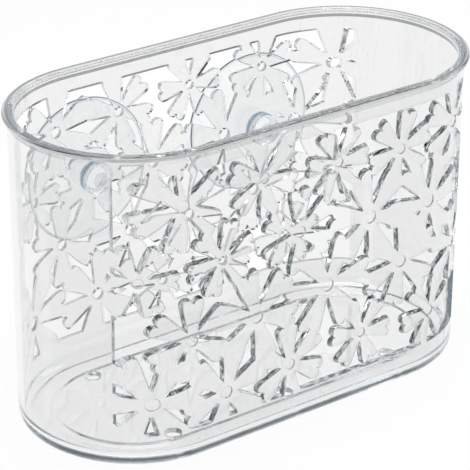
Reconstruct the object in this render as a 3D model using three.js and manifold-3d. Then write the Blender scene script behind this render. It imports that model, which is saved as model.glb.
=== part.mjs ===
// Clear moulded bath caddy: a long oval basket whose front and back walls are openwork flowers.
// Two soft suction cups snap into the back wall and hold the caddy on a tiled wall.
// Millimetres, +Z up, front at -Y. The origin lies under the middle of the whole footprint.
import * as THREE from 'three';
import { mergeVertices } from 'three/addons/utils/BufferGeometryUtils.js';
import Module from 'manifold-3d';

const wasm = await Module();
wasm.setup();

// Basket shell
const basketLength = 190;
const basketDepth = 90;
const basketHeight = 124.5;
const wallThickness = 2.2;
const wallDraft = 0.1; // degrees that each wall leans out, so that the moulding leaves its mould
const floorThickness = 2.2;
const baseFillet = 4;
const floorFillet = 5;
const footWidth = 11.5; // ring that the basket stands on, from the wall inwards
const footRamp = 3; // slope from that ring up to the floor panel
const footHeight = 0.8; // lift of the floor panel

// Rim
const rimOverhang = 2;
const rimThickness = 1.8;
const rimShoulder = 0.6; // rounding from the rim's top to the inner wall
const rimFillet = 1; // rounding from the wall to the rim's underside

// Drain holes in the floor panel
const drainDiameter = 6;
const drainSpacing = 52;
const drainRowSpacing = 54;

// Openwork windows, one in each long wall
const windowWidth = 161;
const windowSill = 13.3; // underside to the window's lower edge
const windowHead = 8.7; // rim's top to the window's upper edge

// Flowers that fill the windows
const flowerPitch = 32;
const flowerRowPitch = 25.5;
const flowerRadius = 17.5;
const flowerRadiusChange = 3; // how much larger or smaller a flower grows
const flowerDrift = 2.5; // how far a flower strays from its place in the rows
const flowerTurn = 137.5; // degrees from one flower's first petal to the next one's
const frontSkipCount = 0; // flowers of the sequence passed over, so that the two walls differ
const backSkipCount = 7;
const petalCount = 6;
const petalWidth = 11.5;
const petalNotch = 2.6;
const hubRadius = 4.4;
const eyeDiameter = 4.4; // mark in a flower's middle, a dimple in front and a hole behind
const eyeDepth = 0.5;

// Suction cups
const cupDiameter = 58;
const cupSpacing = 80;
const cupHeight = 79.6; // underside to the cups' axes
const cupReach = 5.2; // back wall to the plane of the cup's lip
const cupCavity = 3.2;
const lipWidth = 1.5;
const lipThickness = 0.9;
const shoulderDiameter = 16;
const neckDiameter = 9;
const neckClearance = 0.4;
const seatGap = 0.3;
const headDiameter = 13;
const headHeight = 5.4;
const headRound = 0.8;
const dimpleDiameter = 6;
const dimpleDepth = 1;
const seatMargin = 2.5; // plain wall left round a cup's shoulder

// Facets
const endFacets = 20;
const cupFacets = 24;
const holeFacets = 12;
const eyeFacets = 8;
const arcDivisions = 2;
const petalDivisions = 2;

const lean = Math.tan(THREE.MathUtils.degToRad(wallDraft));
const halfStraight = (basketLength - basketDepth) / 2;
const windowTop = basketHeight - windowHead;
const windowHeight = windowTop - windowSill;
const cupAxes = [-cupSpacing / 2, cupSpacing / 2];
const seatRadius = shoulderDiameter / 2 + seatMargin;
const frontEdge = -basketDepth / 2 - rimOverhang;
const backEdge = outerWall(cupHeight) + cupReach;

// Distance from the oval's middle line to the outer wall at a height
function outerWall(z) {
  return basketDepth / 2 - (basketHeight - z) * lean;
}

function innerWall(z) {
  return outerWall(z) - wallThickness;
}

// Closed solid for joining and cutting, from any closed three.js geometry
function solidOf(geometry) {
  const bare = geometry.clone();
  bare.deleteAttribute('normal');
  bare.deleteAttribute('uv');
  const merged = mergeVertices(bare, 1e-4);
  const index = merged.getIndex().array;
  const triangles = [];
  for (let i = 0; i < index.length; i += 3) {
    const [a, b, c] = index.slice(i, i + 3);
    if (a !== b && b !== c && c !== a) triangles.push(a, b, c);
  }
  return new wasm.Manifold(new wasm.Mesh({
    numProp: 3,
    vertProperties: merged.getAttribute('position').array,
    triVerts: new Uint32Array(triangles),
  }));
}

function geometryOf(solid) {
  const mesh = solid.getMesh();
  const geometry = new THREE.BufferGeometry();
  geometry.setAttribute('position', new THREE.BufferAttribute(mesh.vertProperties, 3));
  geometry.setIndex(new THREE.BufferAttribute(mesh.triVerts, 1));
  geometry.computeVertexNormals();
  return geometry;
}

// Lathe about Z whose left and right halves are pulled apart, which turns the circle into an oval
function pulledLathe(profile) {
  const columns = 2 * endFacets;
  const halfStep = Math.PI / columns;
  const points = profile.map((point) => new THREE.Vector2(point.x / Math.cos(halfStep), point.y));
  const lathe = new THREE.LatheGeometry(points, columns, halfStep);
  lathe.rotateX(Math.PI / 2);
  const position = lathe.getAttribute('position');
  for (let i = 0; i < position.count; i += 1) {
    const column = Math.floor(i / points.length);
    const side = Math.sign(Math.sin(halfStep * (2 * column + 1)));
    position.setX(i, position.getX(i) + side * halfStraight);
  }
  return lathe;
}

// Section of the basket from the middle of its underside, round the rim, to the middle of its floor
function basketProfile() {
  const footInner = outerWall(0) - footWidth;
  const panelEdge = footInner - footRamp;
  const rimUnder = basketHeight - rimThickness;
  const rimEdge = rimThickness / 2;
  const wallTop = rimUnder - rimFillet;
  const shoulderFoot = basketHeight - rimShoulder;
  const floorTop = floorThickness + floorFillet;
  const section = new THREE.Path();
  section.moveTo(0, footHeight);
  section.lineTo(panelEdge, footHeight);
  section.lineTo(footInner, 0);
  section.absarc(outerWall(0) - baseFillet, baseFillet, baseFillet, -Math.PI / 2, 0, false);
  section.absarc(outerWall(wallTop) + rimFillet, wallTop, rimFillet, Math.PI, Math.PI / 2, true);
  section.absarc(
    basketDepth / 2 + rimOverhang - rimEdge, rimUnder + rimEdge, rimEdge, -Math.PI / 2, Math.PI / 2, false,
  );
  section.absarc(
    innerWall(shoulderFoot) + rimShoulder, shoulderFoot, rimShoulder, Math.PI / 2, Math.PI, false,
  );
  section.absarc(innerWall(floorTop) - floorFillet, floorTop, floorFillet, 0, -Math.PI / 2, true);
  section.lineTo(footInner, floorThickness);
  section.lineTo(panelEdge, floorThickness + footHeight);
  section.lineTo(0, floorThickness + footHeight);
  return section.getPoints(arcDivisions);
}

// Straight cutter or filler along Y over one half of the basket; side is -1 in front, 1 behind
function halfPrism(shape, side) {
  const depth = basketDepth / 2 + rimOverhang;
  const prism = new THREE.ExtrudeGeometry(shape, {
    depth,
    bevelEnabled: false,
    curveSegments: petalDivisions,
  });
  prism.rotateX(Math.PI / 2);
  if (side > 0) prism.translate(0, depth, 0);
  return solidOf(prism);
}

function disc(x, z, radius, facets) {
  const shape = new THREE.Shape();
  for (let i = 0; i < facets; i += 1) {
    const angle = (2 * Math.PI * (i + 0.5)) / facets;
    const corner = [x + radius * Math.cos(angle), z + radius * Math.sin(angle)];
    if (i === 0) shape.moveTo(...corner);
    else shape.lineTo(...corner);
  }
  return shape;
}

function windowShape() {
  const shape = new THREE.Shape();
  shape.moveTo(-windowWidth / 2, windowSill);
  shape.lineTo(windowWidth / 2, windowSill);
  shape.lineTo(windowWidth / 2, windowTop);
  shape.lineTo(-windowWidth / 2, windowTop);
  return shape;
}

// Flower with wedge-shaped petals, heart-notched at the tip, and narrowing slits down to its hub
function flowerShape({ x, z, growth, turn }) {
  const halfPitch = Math.PI / petalCount;
  const halfPetal = Math.asin(petalWidth / 2 / flowerRadius);
  const tip = growth * flowerRadius;
  const cheek = growth * (flowerRadius - petalNotch);
  const root = growth * hubRadius;
  const place = (distance, angle) => [x + distance * Math.cos(angle), z + distance * Math.sin(angle)];
  const shape = new THREE.Shape();
  for (let petal = 0; petal < petalCount; petal += 1) {
    const axis = turn + 2 * halfPitch * petal;
    if (petal === 0) shape.moveTo(...place(root, axis - halfPitch));
    shape.lineTo(...place(cheek, axis - halfPetal));
    shape.quadraticCurveTo(...place(tip, axis - halfPetal), ...place(tip, axis - halfPetal / 2));
    shape.lineTo(...place(cheek, axis));
    shape.lineTo(...place(tip, axis + halfPetal / 2));
    shape.quadraticCurveTo(...place(tip, axis + halfPetal), ...place(cheek, axis + halfPetal));
    if (petal < petalCount - 1) shape.lineTo(...place(root, axis + halfPitch));
  }
  return shape;
}

// Flowers in staggered rows, each strayed, turned and grown by its own number
function flowerField(skipCount) {
  const rows = Math.max(1, Math.round(windowHeight / flowerRowPitch));
  const columns = Math.max(1, Math.round(windowWidth / flowerPitch));
  const rowStep = windowHeight / rows;
  const columnStep = windowWidth / columns;
  const flowers = [];
  for (let row = 0; row < rows; row += 1) {
    const stagger = row % 2 === 0 ? 0.25 : 0.75;
    for (let column = 0; column < columns; column += 1) {
      const turn = THREE.MathUtils.degToRad(flowerTurn) * (skipCount + flowers.length);
      flowers.push({
        x: (column + stagger) * columnStep - windowWidth / 2 + flowerDrift * Math.cos(2 * turn),
        z: (row + 0.5) * rowStep + windowSill + flowerDrift * Math.sin(2 * turn),
        growth: 1 + (flowerRadiusChange / flowerRadius) * Math.cos(3 * turn),
        turn,
      });
    }
  }
  return flowers;
}

// What is cut from one wall: its window less the flowers and the cups' seats
function openwork(flowers, side, seats) {
  let opening = halfPrism(windowShape(), side);
  for (const flower of flowers) {
    opening = opening.subtract(halfPrism(flowerShape(flower), side));
  }
  for (const seat of seats) {
    opening = opening.subtract(halfPrism(disc(seat, cupHeight, seatRadius, holeFacets), side));
  }
  return opening;
}

// Cutters for the eyes of the flowers that stand clear of the window's ends and the cups' seats
function eyePrisms(flowers, side, seats) {
  const clear = ({ x, z }) => seats.every((seat) => (
    Math.hypot(x - seat, z - cupHeight) > seatRadius + eyeDiameter
  ));
  const inWindow = ({ x }) => Math.abs(x) < windowWidth / 2 - eyeDiameter;
  return flowers.filter(clear).filter(inWindow).map(({ x, z, growth }) => (
    halfPrism(disc(x, z, (growth * eyeDiameter) / 2, eyeFacets), side)
  ));
}

// All that lies deeper than the front eyes' dimples reach into the wall
function belowDimples() {
  const profile = [
    new THREE.Vector2(0, windowSill),
    new THREE.Vector2(outerWall(windowSill) - eyeDepth, windowSill),
    new THREE.Vector2(outerWall(windowTop) - eyeDepth, windowTop),
    new THREE.Vector2(0, windowTop),
  ];
  return solidOf(pulledLathe(profile));
}

function basketSolid() {
  const frontFlowers = flowerField(frontSkipCount);
  const backFlowers = flowerField(backSkipCount);
  const dimpleFloor = belowDimples();
  let basket = solidOf(pulledLathe(basketProfile()));
  basket = basket.subtract(openwork(frontFlowers, -1, []));
  basket = basket.subtract(openwork(backFlowers, 1, cupAxes));
  for (const prism of eyePrisms(frontFlowers, -1, [])) {
    basket = basket.subtract(prism.subtract(dimpleFloor));
  }
  for (const prism of eyePrisms(backFlowers, 1, cupAxes)) {
    basket = basket.subtract(prism);
  }
  for (const axis of cupAxes) {
    const bore = neckDiameter / 2 + neckClearance;
    basket = basket.subtract(halfPrism(disc(axis, cupHeight, bore, holeFacets), 1));
  }
  for (const column of [-1, 0, 1]) {
    for (const row of [-1, 1]) {
      const drain = new THREE.CylinderGeometry(
        drainDiameter / 2, drainDiameter / 2, 4 * (floorThickness + footHeight), holeFacets,
      );
      drain.rotateX(Math.PI / 2);
      drain.translate(column * drainSpacing, (row * drainRowSpacing) / 2, 0);
      basket = basket.subtract(solidOf(drain));
    }
  }
  return basket;
}

// Section of a cup along its axis, with the back wall's outer face at zero: head, neck, dish, cavity
function cupProfile() {
  const headUnder = -(wallThickness + seatGap);
  const headTop = headUnder - headHeight;
  const head = headDiameter / 2;
  const rim = cupDiameter / 2;
  const shoulder = shoulderDiameter / 2;
  const section = new THREE.Path();
  section.moveTo(0, headTop + dimpleDepth);
  section.quadraticCurveTo(dimpleDiameter / 4, headTop + dimpleDepth, dimpleDiameter / 2, headTop);
  section.absarc(head - headRound, headTop + headRound, headRound, -Math.PI / 2, 0, false);
  section.lineTo(head, headUnder);
  section.lineTo(neckDiameter / 2, headUnder);
  section.lineTo(neckDiameter / 2, seatGap);
  section.lineTo(shoulder, seatGap);
  section.quadraticCurveTo((shoulder + rim) / 2, seatGap, rim, cupReach - lipThickness);
  section.lineTo(rim, cupReach);
  section.lineTo(rim - lipWidth, cupReach);
  section.quadraticCurveTo(rim / 2, cupReach - cupCavity, 0, cupReach - cupCavity);
  return section.getPoints(2 * arcDivisions);
}

function cupGeometry() {
  return new THREE.LatheGeometry(cupProfile(), cupFacets);
}

const clearPolystyrene = new THREE.MeshStandardMaterial({
  color: 0xe6edf0,
  roughness: 0.06,
  metalness: 0,
  transparent: true,
  opacity: 0.35,
});

const clearSoftVinyl = new THREE.MeshStandardMaterial({
  color: 0xdbe6ec,
  roughness: 0.18,
  metalness: 0,
  transparent: true,
  opacity: 0.5,
});

const caddy = new THREE.Group();
caddy.position.y = -(frontEdge + backEdge) / 2;

const basket = new THREE.Mesh(geometryOf(basketSolid()), clearPolystyrene);
basket.name = 'basket';
caddy.add(basket);

['left', 'right'].forEach((hand, i) => {
  const cup = new THREE.Mesh(geometryOf(solidOf(cupGeometry())), clearSoftVinyl.clone());
  cup.name = `suction_cup_${hand}`;
  cup.position.set(cupAxes[i], outerWall(cupHeight), cupHeight);
  caddy.add(cup);
});

export default caddy;
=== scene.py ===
import math
from itertools import pairwise

import bpy
import numpy as np
from bpy.props import FloatProperty, FloatVectorProperty, IntProperty, PointerProperty
from mathutils import Matrix, Vector
from mathutils.geometry import delaunay_2d_cdt


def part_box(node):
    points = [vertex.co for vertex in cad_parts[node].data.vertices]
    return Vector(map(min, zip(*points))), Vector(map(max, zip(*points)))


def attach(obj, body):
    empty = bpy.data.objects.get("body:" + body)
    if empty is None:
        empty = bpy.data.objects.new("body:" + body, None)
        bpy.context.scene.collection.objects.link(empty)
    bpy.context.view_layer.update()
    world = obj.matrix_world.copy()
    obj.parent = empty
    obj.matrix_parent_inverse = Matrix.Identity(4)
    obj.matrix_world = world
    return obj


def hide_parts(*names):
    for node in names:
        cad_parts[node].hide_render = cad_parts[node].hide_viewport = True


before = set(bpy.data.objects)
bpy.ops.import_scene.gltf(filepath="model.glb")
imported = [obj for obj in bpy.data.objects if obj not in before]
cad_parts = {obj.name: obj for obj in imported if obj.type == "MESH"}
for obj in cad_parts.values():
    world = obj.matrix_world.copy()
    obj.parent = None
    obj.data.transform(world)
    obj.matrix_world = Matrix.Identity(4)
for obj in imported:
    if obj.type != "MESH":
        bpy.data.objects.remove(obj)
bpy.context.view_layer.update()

bl_info = {
    "name": "Clear bath caddy",
    "version": (1, 0, 0),
    "blender": (4, 5, 0),
    "location": "3D View > Sidebar > Caddy",
    "description": "Clear oval basket with flower openwork and two soft suction cups",
    "category": "Add Mesh",
}

basket_low, basket_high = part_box("basket")
cup_low, cup_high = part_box("suction_cup_right")

RIM_OVERHANG = 0.002
WHITE = (1.0, 1.0, 1.0, 1.0)
UP = Vector((0.0, 0.0, 1.0))
BEHIND = Vector((0.0, 1.0, 0.0))
# Lengths in metres, and decimals of a metre, below which two places count as one.
TINY = 1e-9
SMALL = 1e-7
DECIMALS = 8
# Kinds of outline in a wall's plan.
WINDOW, FLOWER, EYE, SEAT, BORE = range(5)
# Output of the flat mesher that keeps every triangle.
ALL_TRIANGLES = 0


def linear(code):
    """Linear colour with full alpha from an sRGB hex code"""
    shares = [int(code[i:i + 2], 16) / 255 for i in (0, 2, 4)]
    return [c / 12.92 if c <= 0.04045 else ((c + 0.055) / 1.055) ** 2.4 for c in shares] + [1.0]


def distance(name, description, default):
    """Length property in metres"""
    return FloatProperty(
        name=name, description=description, default=default, min=0.0, precision=5, unit="LENGTH",
    )


def angle(name, description, degrees):
    """Angle property, given in degrees"""
    return FloatProperty(
        name=name, description=description, default=math.radians(degrees), precision=4, subtype="ANGLE",
    )


def fraction(name, description, default):
    """Property from none to all"""
    return FloatProperty(
        name=name, description=description, default=default, min=0.0, max=1.0, subtype="FACTOR",
    )


def tone(name, description, code):
    """Colour property from an sRGB hex code"""
    return FloatVectorProperty(
        name=name, description=description, default=linear(code), size=4, min=0.0, max=1.0, subtype="COLOR",
    )


class BasketSizes(bpy.types.PropertyGroup):
    """Sizes of the moulded basket"""
    length: distance(
        "Length", "Wall to wall along X under the rim", basket_high.x - basket_low.x - 2 * RIM_OVERHANG,
    )
    depth: distance(
        "Depth", "Wall to wall along Y under the rim", basket_high.y - basket_low.y - 2 * RIM_OVERHANG,
    )
    height: distance("Height", "Underside to the rim's top", basket_high.z)
    middle: FloatProperty(
        name="Middle", description="Y of the oval's middle line", precision=5, unit="LENGTH",
        default=(basket_low.y + basket_high.y) / 2,
    )
    wall: distance("Wall", "Thickness of the wall", 0.0022)
    draft: angle("Draft", "Lean of the wall, for leaving the mould", 0.1)
    floor: distance("Floor", "Thickness of the floor", 0.0022)
    base_fillet: distance("Base fillet", "Rounding from the wall to the underside", 0.004)
    floor_fillet: distance("Floor fillet", "Rounding from the inner wall to the floor", 0.005)
    foot_width: distance("Foot width", "Ring that the basket stands on, from the wall inwards", 0.0115)
    foot_ramp: distance("Foot ramp", "Slope from that ring up to the floor panel", 0.003)
    foot_height: distance("Foot height", "Lift of the floor panel", 0.0008)
    rim_overhang: distance("Rim overhang", "Wall to the rim's outer edge", RIM_OVERHANG)
    rim_thickness: distance("Rim thickness", "Thickness of the flange", 0.0018)
    # The rim's two roundings are finer than the solid's, which keeps the lines that they draw thin.
    rim_shoulder: distance("Rim shoulder", "Rounding from the rim's top to the inner wall", 0.00035)
    rim_fillet: distance("Rim fillet", "Rounding from the wall to the rim's underside", 0.0004)
    # The two thin lines under and along the rim, the rim along the front and the line where the wall bends
    # to the underside are made rougher and tinted dark: painted shade for the dark lines that bent light
    # draws there.
    rim_line: distance("Rim line", "Height of the dull line on the wall under the rim", 0.0013)
    rim_line_drop: distance("Rim line drop", "That rounding to this line", 0.0003)
    rim_edge_line: distance("Rim edge line", "Width of the dull line along the rim's edge", 0.0013)
    rim_line_dull_and_shaded: fraction("Rim line dullness", "How dull both lines are, less along the front", 0.92)
    rim_dull_and_shaded: fraction("Rim dullness", "How dull the rim is along the front", 0.64)
    base_dull_and_shaded: fraction("Base dullness", "How dull the line is where the wall bends to the underside", 1.0)
    drain_diameter: distance("Drain diameter", "Holes in the floor panel", 0.006)
    drain_spacing: distance("Drain spacing", "Hole to hole along X", 0.052)
    drain_row_spacing: distance("Drain row spacing", "Row to row along Y", 0.054)


class OpenworkSizes(bpy.types.PropertyGroup):
    """Sizes of the flower openwork in the long walls"""
    width: distance("Width", "Window's width", 0.161)
    sill: distance("Sill", "Underside to the window's lower edge", 0.0133)
    head: distance("Head", "Rim's top to the window's upper edge", 0.0087)
    margin: distance("Margin", "Plain wall that is meshed together with a window", 0.003)
    pitch: distance("Pitch", "Flower to flower along a row, before rounding to whole flowers", 0.032)
    row_pitch: distance("Row pitch", "Row to row, before rounding to whole rows", 0.0255)
    radius: distance("Radius", "Middle of a flower to its petal tips", 0.0175)
    radius_change: distance("Radius change", "How much larger or smaller a flower grows", 0.003)
    drift: distance("Drift", "How far a flower strays from its place in the rows", 0.0025)
    turn: angle("Turn", "From one flower's first petal to the next one's", 137.5)
    front_skip: IntProperty(name="Front skip", description="Flowers passed over for the front", default=0)
    back_skip: IntProperty(name="Back skip", description="Flowers passed over for the back", default=7)
    petals: IntProperty(name="Petals", description="Petals of a flower", default=6, min=3)
    petal_width: distance("Petal width", "Width of a petal at its tip", 0.0115)
    petal_notch: distance("Petal notch", "Depth of the notch in a petal's tip", 0.0026)
    hub_radius: distance("Hub radius", "Middle of a flower to the root of its slits", 0.0044)
    eye_diameter: distance("Eye diameter", "Dimple or hole in a flower's middle", 0.0044)
    eye_depth: distance("Eye depth", "Depth of the dimples in the front wall", 0.0005)
    front_taper: distance("Front taper", "How far the front's cut edges slope, to the wider outside", 0.0006)
    back_taper: distance("Back taper", "The same for the back's cut edges", 0.0003)
    corner_round: distance("Corner round", "Rounding of the corners in the openwork's plan", 0.0004)
    front_round: distance("Front round", "Rounding of the front's cut edges", 0.00025)
    back_round: distance("Back round", "Rounding of the back's cut edges", 0.00012)
    # The front's cut sides and their brinks are made rougher and take painted shade, dark with paler streaks
    # along the slides' marks.
    front_drawn_and_shaded: fraction("Front drawing", "How strongly the slides have marked the front's cut edges", 1.0)
    front_brink_drawn_and_shaded: fraction("Front brink", "The same on the rounding of those edges", 0.45)
    # The back's cut edges are made rougher and take a plain painted shade.
    back_dull_and_shaded: fraction("Back dullness", "How dull the cut edges of the back are", 0.28)
    stride: distance("Stride", "Longest straight step along a cut edge", 0.002)
    least_area: FloatProperty(
        name="Least area", description="Smaller openings are left closed", default=6e-7, precision=8,
        unit="AREA",
    )


class CupSizes(bpy.types.PropertyGroup):
    """Sizes of the soft suction cups"""
    diameter: distance("Diameter", "Across the lip", cup_high.x - cup_low.x)
    place: distance("Place", "Middle of the basket to a cup's axis", (cup_low.x + cup_high.x) / 2)
    height: distance("Height", "Underside of the basket to a cup's axis", (cup_low.z + cup_high.z) / 2)
    reach: distance("Reach", "Back wall to the plane of the lip", 0.0052)
    cavity: distance("Cavity", "Depth of the hollow", 0.0032)
    lip_width: distance("Lip width", "Flat ring that touches the tiles", 0.0015)
    lip_thickness: distance("Lip thickness", "Thickness of the edge", 0.0009)
    shoulder_diameter: distance("Shoulder diameter", "Flat that sits against the wall", 0.016)
    neck_diameter: distance("Neck diameter", "Neck in the wall's hole", 0.009)
    neck_clearance: distance("Neck clearance", "Neck to the hole's edge", 0.0004)
    seat_gap: distance("Seat gap", "Play along the neck on each side of the wall", 0.0003)
    seat_margin: distance("Seat margin", "Plain wall left round a cup's shoulder", 0.0025)
    head_diameter: distance("Head diameter", "Button that holds the cup in its hole", 0.013)
    head_height: distance("Head height", "Height of the button", 0.0054)
    head_round: distance("Head round", "Rounding of the button's top", 0.0008)
    dimple_diameter: distance("Dimple diameter", "Dimple in the button's top", 0.006)
    dimple_depth: distance("Dimple depth", "Depth of that dimple", 0.001)
    edge_round: distance("Edge round", "Rounding of the other edges", 0.0004)
    # These three make the flat ring, the button's side and its dimple rougher and tint them dark: painted
    # shade for the dark lines that bent light draws there.
    lip_dull_and_shaded: fraction("Lip dullness", "How dull the flat ring is", 0.35)
    head_dull_and_shaded: fraction("Head dullness", "How dull the button's side is", 0.25)
    dimple_dull_and_shaded: fraction("Dimple dullness", "How dull the button's dimple is", 0.35)


class Finishes(bpy.types.PropertyGroup):
    """Colours of the two clear plastics and of the stage"""
    basket: tone("Basket", "Tint that a sheet of the clear polystyrene gives", "f4f4f4")
    # The next three tints are painted shade: dark for the dull lines and the back's cut edges, then dark and
    # paler for the streaks on the front's drawn cut sides.
    basket_shade: tone("Basket dull", "Tint of its dull lines and of the back's cut edges", "454b4d")
    basket_cut_shade: tone("Basket cut", "Tint of the drawn sides of its openwork", "434a4d")
    basket_streak_shade: tone("Basket streak", "Paler streaks along those sides", "dde1e2")
    basket_depth: tone("Basket depth", "Colour that a long way through it takes", "7aa6be")
    cup: tone("Cup", "Tint that a sheet of the clear vinyl gives", "fbfcfc")
    # The next tint is painted shade, for the dark lines that bent light draws at the cup's lip, its button's
    # side and its dimple.
    cup_edge_shade: tone("Cup edge", "Tint of its lip, its button's side and its dimple", "456682")
    cup_depth: tone("Cup depth", "Colour that a long way through it takes", "8fb0c6")
    floor: tone("Floor", "Studio floor", "f6f6f6")
    studio: tone("Studio", "Unlit studio above the pale floor", "3a4149")


class StageSizes(bpy.types.PropertyGroup):
    """Place of the camera"""
    azimuth: angle("Azimuth", "Camera's way round the caddy from the front", -36.8604)
    elevation: angle("Elevation", "Camera's height above the horizon", 25.7169)
    roll: angle("Roll", "Camera's turn about its own axis", 0.3194)
    distance: distance("Distance", "Camera to the point it looks at", 0.906365)
    lens: FloatProperty(name="Lens", description="Focal length", default=181.36, unit="CAMERA")
    aim_across: FloatProperty(
        name="Aim across", description="X of the point it looks at", default=-0.003145, unit="LENGTH",
    )
    aim_height: distance("Aim height", "Height of the point it looks at", 0.05981)


def add_node(tree, kind, links=None, **settings):
    """New node with its settings and its inputs, which are links or plain values"""
    node = tree.nodes.new(kind)
    for name, value in settings.items():
        setattr(node, name, value)
    for name, source in (links or {}).items():
        if isinstance(source, bpy.types.NodeSocket):
            tree.links.new(source, node.inputs[name])
        else:
            node.inputs[name].default_value = source
    return node


def rays_of(tree, *kinds):
    """One for light paths of these kinds, and zero for the others"""
    paths = add_node(tree, "ShaderNodeLightPath").outputs
    total = paths[kinds[0]]
    for kind in kinds[1:]:
        total = add_node(tree, "ShaderNodeMath", {0: total, 1: paths[kind]}, operation="MAXIMUM").outputs[0]
    return total


class Skin:
    """Corners, faces and corner normals of one closed piece"""

    def __init__(self):
        self.points = []
        self.faces = []
        self.normals = []
        # Each face has a drawn share, which makes a cut side rougher and paints shade on it in paler
        # streaks, and a dull share, which makes a face rougher and paints a plain shade on it.
        self.shares = {"cut": [], "dull_and_shaded": []}

    def corner(self, point):
        self.points.append(point)
        return len(self.points) - 1

    def face(self, corners, normals, cut=0.0, dull_and_shaded=0.0):
        kept = [i for i in range(len(corners)) if corners[i] != corners[i - 1]]
        if len(kept) > 2:
            self.faces.append([corners[i] for i in kept])
            self.normals.extend(normals[i] for i in kept)
            self.shares["cut"].append(cut)
            self.shares["dull_and_shaded"].append(dull_and_shaded)

    def piece(self, name, material):
        mesh = bpy.data.meshes.new(name)
        mesh.from_pydata(self.points, [], self.faces)
        mesh.polygons.foreach_set("use_smooth", [True] * len(self.faces))
        mesh.normals_split_custom_set(self.normals)
        for kind, values in self.shares.items():
            mesh.attributes.new(kind, "FLOAT", "FACE").data.foreach_set("value", values)
        mesh.materials.append(material)
        piece = bpy.data.objects.new(name, mesh)
        bpy.context.scene.collection.objects.link(piece)
        return piece


def straight(*places):
    """Straight run of a section: places with the normal on the right of the way"""
    across = places[-1][0] - places[0][0]
    along = places[-1][1] - places[0][1]
    size = math.hypot(across, along)
    return [(*place, along / size, -across / size) for place in places]


def arc(centre, radius, start, end, steps=8, hollow=False):
    """Round run of a section between two angles in degrees"""
    run = []
    side = -1.0 if hollow else 1.0
    for k in range(steps + 1):
        turn = math.radians(start + (end - start) * k / steps)
        across, along = math.cos(turn), math.sin(turn)
        run.append((centre[0] + radius * across, centre[1] + radius * along, side * across, side * along))
    return run


def bend(start, control, end, steps=14):
    """Quadratic run of a section"""
    run = []
    for k in range(steps + 1):
        t = k / steps
        place = [(1 - t) ** 2 * a + 2 * t * (1 - t) * b + t * t * c for a, b, c in zip(start, control, end)]
        way = [(1 - t) * (b - a) + t * (c - b) for a, b, c in zip(start, control, end)]
        size = math.hypot(*way)
        run.append((*place, way[1] / size, -way[0] / size))
    return run


def ease(start, end, steps=8):
    """Run of a section that leaves and arrives level"""
    run = []
    across, rise = end[0] - start[0], end[1] - start[1]
    for k in range(steps + 1):
        t = k / steps
        climb = rise * math.pi / 2 * math.sin(math.pi * t)
        size = math.hypot(across, climb)
        height = start[1] + rise * (1 - math.cos(math.pi * t)) / 2
        run.append((start[0] + across * t, height, climb / size, -across / size))
    return run


class Sweep:
    """Section carried round an axis, with corners shared from run to run"""

    def __init__(self, skin, ring, axis):
        self.skin = skin
        self.ring = ring
        self.axis = axis
        self.rings = {}
        self.made = {}

    def columns(self, radius):
        key = round(radius, DECIMALS)
        if key not in self.rings:
            self.rings[key] = self.ring(radius)
        return self.rings[key]

    def corner(self, radius, along, column):
        at_pole = radius < TINY
        key = (round(radius, DECIMALS), round(along, DECIMALS), 0 if at_pole else column)
        if key not in self.made:
            origin, way = self.columns(radius)[column]
            self.made[key] = self.skin.corner(origin + way * radius + self.axis * along)
        return self.made[key]

    def run(self, places, left_out=None, dull_and_shaded=None):
        for first, second in pairwise(places):
            ways = [self.columns(place[0]) for place in (first, second)]
            count = len(ways[0])
            for column in range(count):
                if left_out and left_out(first, second, column):
                    continue
                beside = (column + 1) % count
                dull_and_shade_share = dull_and_shaded(ways[0][column][1]) if dull_and_shaded else 0.0
                corners = []
                normals = []
                for place, way, at in (
                    (first, ways[0], column), (first, ways[0], beside),
                    (second, ways[1], beside), (second, ways[1], column),
                ):
                    corners.append(self.corner(place[0], place[1], at))
                    normals.append(way[at][1] * place[2] + self.axis * place[3])
                self.skin.face(corners, normals, dull_and_shaded=dull_and_shade_share)


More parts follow.
